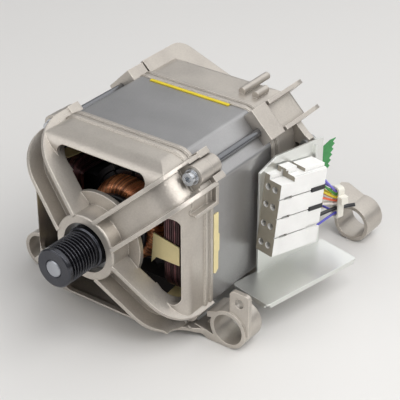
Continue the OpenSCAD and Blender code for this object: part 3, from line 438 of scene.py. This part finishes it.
def racetrack(turn, half_length, half_height, corner):
    """Points on a rounded rectangle in Y and Z for turns counted from 0, spread evenly by arc length.

    The four corners are quarter circles, and the sides between them are straight.
    """
    w = np.linspace(0, 2 * np.pi, 1441)
    q = np.floor(w / (np.pi / 2)).astype(int) % 4
    cy = np.where((q == 0) | (q == 3), 1, -1) * (half_length - corner)
    cz = np.where(q < 2, 1, -1) * (half_height - corner)
    y, z = cy + corner * np.cos(w), cz + corner * np.sin(w)
    run = np.concatenate([[0], np.cumsum(np.hypot(np.diff(y), np.diff(z)))])
    s = (turn % 1.0) * run[-1]
    return np.interp(s, run, y), np.interp(s, run, z)


# Settings that a user would change


class MotorFinish(bpy.types.PropertyGroup):
    """Colours of the main materials, as sRGB hex values."""

    casting: bpy.props.StringProperty(name="Castings", description="Tone of both end shields",
                                      default="#bdb6ad")
    stack: bpy.props.StringProperty(name="Stack", description="Tone of the lamination stack",
                                    default="#a5a4a4")
    pulley: bpy.props.StringProperty(name="Pulley", description="Tone of the belt pulley", default="#4b4c51")
    copper: bpy.props.StringProperty(name="Copper", description="Tone of the bare copper", default="#c47a4a")
    housing: bpy.props.StringProperty(name="Connector", description="Tone of the connector",
                                      default="#f1f0ed")
    bracket: bpy.props.StringProperty(name="Bracket", description="Tone of the terminal bracket",
                                      default="#e2e3df")


class MotorSizes(bpy.types.PropertyGroup):
    """Sizes of the wound and soft pieces."""

    lead: bpy.props.FloatProperty(name="Lead", description="Diameter of a lead",
                                  default=1.5 * MM, unit="LENGTH")
    rotor_strand: bpy.props.FloatProperty(name="Rotor strand", description="Diameter of a rotor wire",
                                          default=1.15 * MM, unit="LENGTH")
    coil_strand: bpy.props.FloatProperty(name="Coil strand", description="Diameter of a field coil wire",
                                         default=1.25 * MM, unit="LENGTH")
    spring_wire: bpy.props.FloatProperty(name="Spring wire", description="Diameter of a brush spring's wire",
                                         default=0.7 * MM, unit="LENGTH")


class MotorStage(bpy.types.PropertyGroup):
    """Light and camera of the studio."""

    key: bpy.props.FloatProperty(name="Key light", description="Power of the front softbox", default=6.5)
    top: bpy.props.FloatProperty(name="Top light", description="Power of the softbox up on the right",
                                 default=12.0)
    side: bpy.props.FloatProperty(name="Side light", description="Power of the low right softbox",
                                  default=1.2)
    back: bpy.props.FloatProperty(name="Back light", description="Power of the high rear softbox",
                                  default=11.0)
    room: bpy.props.FloatProperty(name="Room light", description="Strength of the even light", default=0.5)
    lens: bpy.props.FloatProperty(name="Lens", description="Focal length", default=124.2, unit="CAMERA")
    floor: bpy.props.StringProperty(name="Floor", description="Tone of the floor", default="#dedcd9")


# Operators, one for each group of pieces


class MOTOR_OT_finishes(bpy.types.Operator):
    """Gives every solid that stays in view its finish"""

    bl_idname = "motor.finishes"
    bl_label = "Finish the solids"

    def execute(self, context):
        tones = context.scene.motor_finish
        casting = cast_aluminium("die_cast_aluminium", tones.casting)
        stack = stacked_sheet("stacked_lamination_steel", tones.stack)
        oxide = turned_steel("blackened_turned_steel", tones.pulley, 0.22)
        ground = turned_steel("ground_shaft_steel", "#a8abb1", 0.3)
        plated = zinc_sheet("plated_steel", "#a9abad")
        race = turned_steel("polished_bearing_steel", "#d2d4d8", 0.16)
        black = moulded("black_moulded_polyester", "#1e1f22", 0.4)
        finishes = {
            ("front_shield", "rear_shield"): casting,
            ("stator_core", "rotor_core"): stack,
            ("belt_pulley",): oxide,
            ("shaft",): ground,
            ("through_bolts",): bolt_steel("oxide_bolt_steel", "#c4c7cb",
                                           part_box("through_bolts")[0][1] + 5 * MM),
            ("bracket_rivets", "retaining_ring"): plated,
            ("front_bearing_outer_ring", "front_bearing_inner_ring", "front_bearing_balls",
             "rear_bearing_outer_ring", "rear_bearing_inner_ring", "rear_bearing_balls"): race,
            ("terminal_bracket",): zinc_sheet("zinc_plated_sheet", tones.bracket),
            ("pole_insulation", "side_insulation_strip"): pressboard("cream_pressboard", "#e6d6a2"),
            ("top_insulation_strip",): pressboard("yellow_film_edge", "#d9c22c"),
            ("rotor_end_ring", "brush_holders", "tacho_cap", "connector_keys"): black,
            ("commutator_bars", "tacho_coil"): enamelled_copper("bare_copper", tones.copper),
            ("commutator_core",): moulded("brown_phenolic", "#3a2a22", 0.5),
            ("upper_brush", "lower_brush"): pressed_powder("pressed_carbon", "#33343a"),
            ("tacho_magnet",): pressed_powder("sintered_ferrite", "#4a4c50"),
            # The last number paints shade into the connector's slots and hollows.
            ("connector_housing",): moulded("white_nylon", tones.housing, 0.42, 1.2, 0.6),
            ("cable_tie",): moulded("natural_nylon", "#e9e5da", 0.4, 1.0),
            ("connector_terminals",): turned_steel("tinned_brass", "#b9a06a", 0.3),
            ("harness_tape",): tape_film("green_film_tape", "#3f8f4f"),
        }
        # The connector's forward faces, where the tier mouths lie, get a darker tan as painted shade.
        mouth = finishes[("connector_housing",)].node_tree
        paint_shade_facing(mouth, mouth.nodes["Principled BSDF"], "#968f80", False)
        for nodes, material in finishes.items():
            for name in nodes:
                NODES[name].data.materials.clear()
                NODES[name].data.materials.append(material)
        return {"FINISHED"}


class MOTOR_OT_rotor_windings(bpy.types.Operator):
    """Winds the copper strands at both ends of the rotor"""

    bl_idname = "motor.rotor_windings"
    bl_label = "Wind the rotor"

    def execute(self, context):
        copper = enamelled_copper("rotor_copper_wire", "#ea9266", 0.4)
        strand = context.scene.motor_sizes.rotor_strand
        for node, body_end in (("rotor_winding_front", 1), ("rotor_winding_rear", 0)):
            low, high = (np.array(c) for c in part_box(node))
            face, reach = (high[1], low[1]) if body_end else (low[1], high[1])
            self.wind(node, copper, strand, face, reach, high[0])
        return {"FINISHED"}

    def wind(self, node, copper, strand, face, reach, outer):
        """Strands side by side over a rounded end.

        Each leaves the core at the outer radius, climbs five sixths of a half ellipse towards the shaft and
        turns evenly by 18 degrees on its way. A half sine over each of twelve bundles lifts its middle by
        1 mm, and every other strand lies 0.3 mm deeper.
        """
        bundles, points, hole = 12, 41, 0.42
        twist, headroom, inset, sunk = np.radians(18), 1.2 * MM, 1.0 * MM, 0.3 * MM
        count = bundles * int(2 * np.pi * outer / bundles / strand / PACKING)
        first = np.arange(count)[:, None] * 2 * np.pi / count
        t = np.linspace(0, 1, points)[None, :]
        inner, tall, grow = outer * hole, abs(reach - face) - headroom - strand / 2, np.sign(reach - face)
        swell = MM * np.sin(np.pi * (first * bundles / (2 * np.pi) % 1)) * np.sin(np.pi * t)
        deeper = sunk * (np.arange(count)[:, None] % 2)
        lift = swell - deeper - inset
        w = t * np.pi * 5 / 6
        middle, half = (outer + inner) / 2, (outer - inner) / 2 - strand / 2
        radius = middle + (half + lift) * np.cos(w)
        y = face + grow * (tall + lift) * np.sin(w)
        angle = first + twist * t
        paths = np.stack([radius * np.cos(angle), y, radius * np.sin(angle)], -1)
        turn = first + twist / 2
        side = np.stack([-np.sin(turn), 0 * turn, np.cos(turn)], -1)
        tones = np.random.default_rng(7).random(count)
        piece = skin(node + "_strands", sweep(paths, strand / 2, 6, side), copper, tones=tones)
        # The ring under the strands is painted dark brown copper, as painted shade under them.
        core = skin(node + "_core", self.core(face, grow, tall, outer),
                    enamelled_copper(node + "_shade", "#4a2614"))
        for made in (piece, core):
            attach(made, "rotor")
        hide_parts(node)

    def core(self, face, grow, tall, outer):
        """A plain ring under the strands: an ellipse carried round the shaft.

        Its middle lies at 0.62 of the outer radius and 0.42 of the height, and its halves are 0.24 of the one
        and 0.4 of the other.
        """
        w = np.linspace(0, 2 * np.pi, 65)
        s = np.linspace(0, 2 * np.pi, 25)[:-1]
        mid_r, mid_y = outer * 0.62, face + grow * tall * 0.42
        prof_r, prof_y = mid_r + outer * 0.24 * np.cos(s), mid_y + tall * 0.4 * np.sin(s) * grow
        ring = np.stack([prof_r * np.cos(w)[:, None], np.broadcast_to(prof_y, (len(w), len(s))),
                         prof_r * np.sin(w)[:, None]], -1)
        return ring[None]


class MOTOR_OT_field_coils(bpy.types.Operator):
    """Winds the two field coils in the stack's slots"""

    bl_idname = "motor.field_coils"
    bl_label = "Wind the field coils"

    def execute(self, context):
        copper = enamelled_copper("field_copper_wire", "#6a4648", 0.3)
        strand = context.scene.motor_sizes.coil_strand
        low, high = (np.array(c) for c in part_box("field_winding_right"))
        self.wind(copper, strand, low, high)
        return {"FINISHED"}

    def wind(self, copper, strand, low, high):
        """Turns of a coil: the outer layer climbs along X on the outer racetrack, turn by turn.

        On its two side faces flat turns step inwards, each racetrack a strand smaller than the last.
        """
        pitch, closing = 1.04, 0.98
        mid = (low[1] + high[1]) / 2
        half_y, half_z = (high[1] - low[1]) / 2 - strand / 2, (high[2] - low[2]) / 2 - strand / 2
        thick, wide = COIL_THICK, high[0] - low[0] - strand
        turns, rows = int(wide / strand / pitch), int(thick / strand / PACKING)
        t = np.linspace(0, 1, 120)[None, :]
        i = np.arange(turns)[:, None]
        y, z = racetrack(t + 0 * i, half_y, half_z, thick)
        x = low[0] + strand / 2 + wide * (i + t * closing) / turns
        outer = np.stack([x, mid + y, z], -1)
        flat = []
        for side in (low[0] + strand / 2, high[0] - strand / 2):
            for row in range(1, rows):
                shrink = row * strand * PACKING
                y, z = racetrack(t, half_y - shrink, half_z - shrink, max(thick - shrink, strand))
                flat.append(np.stack([np.full_like(y, side), mid + y, z], -1)[0])
        paths = np.concatenate([outer, np.array(flat)])
        tubes = sweep(paths, strand / 2, 6, (1, 0.001, 0))
        inner = self.core(low, high, mid, half_y - strand, half_z - strand, thick - strand, strand)
        # The inside of each coil is painted near-black copper, as painted shade behind the turns.
        dark = enamelled_copper("field_coil_shade", "#2c1a1a")
        for sign, node in ((1, "field_winding_right"), (-1, "field_winding_left")):
            turned = [g * np.array([sign, 1, 1]) for g in (tubes, inner)]
            turned = [g[:, :, ::-1] if sign < 0 else g for g in turned]
            tones = np.random.default_rng(11).random(len(tubes))
            strands = skin(node + "_strands", turned[0], copper, tones=tones)
            bundle = skin(node + "_bundle", turned[1], dark)
            for made in (strands, bundle):
                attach(made, "housing")
            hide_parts(node)
            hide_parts("coil_bundles")

    def core(self, low, high, mid, half_y, half_z, thick, strand):
        """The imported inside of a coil: a rectangle of its section carried round the racetrack."""
        t = np.linspace(0, 1, 121)
        x = np.array([low[0], high[0], high[0], low[0]]) + np.array([1, -1, -1, 1]) * strand
        outer, inner = (racetrack(t, half_y - d, half_z - d, max(thick - d, strand))
                        for d in (0.0, thick - strand))
        y = np.stack([outer[0], outer[0], inner[0], inner[0]], -1) + mid
        z = np.stack([outer[1], outer[1], inner[1], inner[1]], -1)
        return np.stack([np.broadcast_to(x, y.shape), y, z], -1)[None]


class MOTOR_OT_slot_liners(bpy.types.Operator):
    """Lays the cream liners that stand out of the slots above and below the field coils"""

    bl_idname = "motor.slot_liners"
    bl_label = "Lay the slot liners"

    def execute(self, context):
        board = pressboard("cream_slot_liner", "#e0cf98")
        low, high = (np.array(c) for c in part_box("field_winding_right"))
        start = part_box("stator_core")[0][1]
        flat = self.sheet(low[0] + MM, high[0] - MM, high[2] + 0.7 * MM, start)
        for side, across in (("right", 1), ("left", -1)):
            for edge, up in (("upper", 1), ("lower", -1)):
                sheet = flat * np.array([across, 1, up])
                sheet = sheet[:, :, ::-1] if across * up < 0 else sheet
                piece = skin("slot_liner_" + edge + "_" + side, sheet, board, smooth=False)
                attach(piece, "housing")
        return {"FINISHED"}

    def sheet(self, x0, x1, z, start):
        """A sheet 0.5 mm thick from 4 mm inside the slot to 17 mm before it.

        It bends away from the coil with the square of its way out, by 2 mm at its end.
        """
        inside, run, bend, thick = 4 * MM, 21 * MM, 2 * MM, 0.5 * MM
        t = np.linspace(0, 1, 13)[:, None]
        y = start + inside - run * t
        x = np.array([x0, x1, x1, x0])
        height = z + bend * t**2 + np.array([0, 0, thick, thick])
        x, y = np.broadcast_to(x, height.shape), np.broadcast_to(y, height.shape)
        return np.stack([x, y, height], -1)[None]


class MOTOR_OT_leads(bpy.types.Operator):
    """Runs the coloured leads from the connector through the tie into the rear shield"""

    bl_idname = "motor.leads"
    bl_label = "Run the leads"

    def execute(self, context):
        lead = context.scene.motor_sizes.lead
        step = lead + LEAD_GAP
        for colour, tone, row, place in LEADS:
            points = np.concatenate([self.outlets(row), TIE + LEAD_ROUTE + np.array([0, 0, place * step])])
            path = smooth_line(points, 90)
            tube = sweep(path[None], lead / 2, 12, (0, 0, 1))
            piece = skin("lead_" + colour, tube, lead_skin(colour + "_pvc", tone))
            self.declare(piece, "wire_" + colour, path, lead, "object", colour + "_wire")
        end = TIE + np.array([0, 0, SLEEVE_PLACE * step]) + SLEEVE_ROUTE
        path = smooth_line(np.concatenate([self.outlets(SLEEVE_ROW), end]), 60)
        tube = sweep(path[None], lead * SLEEVE_SHARE, 12, (0, 0, 1))
        sleeve = skin("lead_sleeve", tube, lead_skin("black_pvc_sleeve", "#1c1c1f"))
        self.declare(sleeve, "black_sleeve", path, lead * 2 * SLEEVE_SHARE, "bare", "black_plastic")
        return {"FINISHED"}

    def declare(self, piece, node, path, thick, end, slot):
        """Hangs a lead on the housing body and hides the solid that it replaces."""
        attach(piece, "housing")
        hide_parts(node)

    def outlets(self, row):
        """Two points where a lead leaves the leaning connector: on its rear face, and a little behind it."""
        yaw, lean = BRACKET_YAW, CONNECTOR_LEAN
        a, b = np.array(LEAD_EXITS), row * ROW_PITCH
        s = CONNECTOR_ALONG + a * math.cos(lean) + b * math.sin(lean)
        z = CONNECTOR_FOOT[2] - a * math.sin(lean) + b * math.cos(lean)
        x = CONNECTOR_FOOT[0] + CONNECTOR_OUT * math.cos(yaw) + s * math.sin(yaw)
        y = CONNECTOR_FOOT[1] - CONNECTOR_OUT * math.sin(yaw) + s * math.cos(yaw)
        return np.stack([x, y, z], -1) * MM


class MOTOR_OT_brush_springs(bpy.types.Operator):
    """Coils the two springs that press the brushes"""

    bl_idname = "motor.brush_springs"
    bl_label = "Coil the brush springs"

    def execute(self, context):
        """Each wire climbs evenly through seven turns on a circle that just fits its box."""
        wire = context.scene.motor_sizes.spring_wire
        steel = turned_steel("spring_steel_wire", "#b4b7bc", 0.3)
        turns = 7
        for sign, name in ((1, "upper"), (-1, "lower")):
            low, high = (np.array(c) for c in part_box(name + "_brush_spring"))
            turn = np.linspace(0, turns, 240)
            r = (high[0] - low[0]) / 2 - wire / 2
            ends = (low[2] + wire / 2, high[2] - wire / 2)
            mid = (low + high) / 2
            path = np.stack([mid[0] + r * np.cos(2 * np.pi * turn), mid[1] + r * np.sin(2 * np.pi * turn),
                             np.interp(turn, (0, turns), ends)], -1)
            piece = skin(name + "_spring_coil", sweep(path[None], wire / 2, 8, (0, 0, 1)), steel)
            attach(piece, "housing")
            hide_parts(name + "_brush_spring")
            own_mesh(piece)
        return {"FINISHED"}


class MOTOR_OT_studio(bpy.types.Operator):
    """Lays a plain floor and sets soft lights and the camera"""

    bl_idname = "motor.studio"
    bl_label = "Set the studio"

    def execute(self, context):
        stage = context.scene.motor_stage
        context.scene.view_settings.view_transform = "Standard"
        self.floor(stage)
        self.lights(context, stage)
        data = bpy.data.cameras.new("photo_camera")
        data.lens, data.sensor_width = stage.lens, SENSOR
        data.clip_end = 20.0
        camera = bpy.data.objects.new("photo_camera", data)
        camera.location = CAMERA_PLACE
        camera.rotation_euler = (math.radians(CAMERA_TILT), 0.0, math.radians(CAMERA_HEADING))
        context.scene.collection.objects.link(camera)
        context.scene.camera = camera
        return {"FINISHED"}

    def floor(self, stage):
        """A flat sheet 8 m square under the eyes, of painted board with a barely cloudy tone.

        Far from the part the camera sees its plain tone, unlit, so that it runs into the background.
        """
        g = np.linspace(-FLOOR_HALF, FLOOR_HALF, 9)
        x, y = np.meshgrid(g, g, indexing="ij")
        sheet = np.stack([x, y, np.full_like(x, GROUND - FLOOR_DROP)], -1)
        n = len(g)
        i = (np.arange(n - 1)[:, None] * n + np.arange(n - 1)[None, :]).ravel()
        faces = np.stack([i, i + n, i + n + 1, i + 1], -1)
        mesh = bpy.data.meshes.new("studio_floor")
        mesh.from_pydata(sheet.reshape(-1, 3).tolist(), [], faces.tolist())
        material, tree, shader = blank("painted_board")
        at = put(tree, "ShaderNodeTexCoord").outputs["Object"]
        cloud = put(tree, "ShaderNodeTexNoise", {"Vector": at, "Scale": 1.5, "Detail": 2.0})
        tone = put(tree, "ShaderNodeMix", {"Factor": cloud.outputs["Fac"], 6: linear(stage.floor),
                                           7: linear(shade(stage.floor, 1.02))}, data_type="RGBA")
        tree.links.new(tone.outputs[2], shader.inputs["Base Color"])
        shader.inputs["Roughness"].default_value = 0.6
        far = put(tree, "ShaderNodeVectorMath", {0: at}, operation="LENGTH")
        away = put(tree, "ShaderNodeMapRange", {"Value": far.outputs["Value"], "From Min": FLOOR_BLEND[0],
                                                "From Max": FLOOR_BLEND[1]})
        direct = put(tree, "ShaderNodeLightPath").outputs["Is Camera Ray"]
        seen = put(tree, "ShaderNodeMath", {0: away.outputs[0], 1: direct}, operation="MULTIPLY")
        plain = put(tree, "ShaderNodeEmission", {"Color": linear(stage.floor)})
        mixed = put(tree, "ShaderNodeMixShader", {0: seen.outputs[0], 1: shader.outputs[0],
                                                  2: plain.outputs[0]})
        tree.links.new(mixed.outputs[0], tree.nodes["Material Output"].inputs["Surface"])
        mesh.materials.append(material)
        floor = bpy.data.objects.new("studio_floor", mesh)
        bpy.context.scene.collection.objects.link(floor)

    def lights(self, context, stage):
        """Softboxes in front on the left, up on the right, lower on the right and high behind.

        The room is darker low down, and the camera sees it in the tone of the floor.
        """
        for name, place, size in SOFTBOXES:
            data = bpy.data.lights.new(name, "AREA")
            data.shape, data.energy = "RECTANGLE", getattr(stage, name)
            data.size, data.size_y = size
            lamp = bpy.data.objects.new(name, data)
            lamp.location = place
            aim = np.array(LIGHT_AIM) - np.array(place)
            lamp.rotation_euler = (math.acos(-aim[2] / np.linalg.norm(aim)), 0.0, math.atan2(-aim[0], aim[1]))
            context.scene.collection.objects.link(lamp)
        world = bpy.data.worlds.new("soft_room")
        world.use_nodes = True
        tree = world.node_tree
        way = put(tree, "ShaderNodeSeparateXYZ", {0: put(tree, "ShaderNodeTexCoord").outputs["Generated"]})
        high = put(tree, "ShaderNodeMapRange", {"Value": way.outputs["Z"], "From Min": 0.0, "From Max": 0.8})
        tone = put(tree, "ShaderNodeMix", {"Factor": high.outputs[0], 6: linear(ROOM_LOW),
                                           7: linear(ROOM_HIGH)}, data_type="RGBA")
        light = tree.nodes["Background"]
        tree.links.new(tone.outputs[2], light.inputs["Color"])
        light.inputs["Strength"].default_value = stage.room
        plain = put(tree, "ShaderNodeBackground", {"Color": linear(stage.floor)})
        seen = put(tree, "ShaderNodeLightPath").outputs["Is Camera Ray"]
        mixed = put(tree, "ShaderNodeMixShader", {0: seen, 1: light.outputs[0], 2: plain.outputs[0]})
        tree.links.new(mixed.outputs[0], tree.nodes["World Output"].inputs["Surface"])
        context.scene.world = world


class MOTOR_PT_panel(bpy.types.Panel):
    """Sidebar panel that lists the motor's operators and settings"""

    bl_idname = "MOTOR_PT_panel"
    bl_label = "Washing machine motor"
    bl_space_type = "VIEW_3D"
    bl_region_type = "UI"
    bl_category = "Motor"

    def draw(self, context):
        for group in (context.scene.motor_finish, context.scene.motor_sizes, context.scene.motor_stage):
            for key in group.__annotations__:
                self.layout.prop(group, key)
        for operator in OPERATORS:
            self.layout.operator(operator.bl_idname)


GROUPS = {"motor_finish": MotorFinish, "motor_sizes": MotorSizes, "motor_stage": MotorStage}
OPERATORS = (MOTOR_OT_studio, MOTOR_OT_leads, MOTOR_OT_finishes, MOTOR_OT_rotor_windings,
             MOTOR_OT_field_coils, MOTOR_OT_slot_liners, MOTOR_OT_brush_springs)


def register():
    """Registers the settings, operators and panel."""
    for made in (*GROUPS.values(), *OPERATORS, MOTOR_PT_panel):
        bpy.utils.register_class(made)
    for key, group in GROUPS.items():
        setattr(bpy.types.Scene, key, bpy.props.PointerProperty(type=group))


def unregister():
    """Takes the settings, operators and panel out again."""
    for key in GROUPS:
        delattr(bpy.types.Scene, key)
    for made in reversed((*GROUPS.values(), *OPERATORS, MOTOR_PT_panel)):
        bpy.utils.unregister_class(made)


def main():
    register()
    bpy.ops.motor.studio()
    bpy.ops.motor.leads()
    bpy.ops.motor.finishes()
    bpy.ops.motor.rotor_windings()
    bpy.ops.motor.field_coils()
    bpy.ops.motor.slot_liners()
    bpy.ops.motor.brush_springs()


if __name__ == "__main__":
    main()
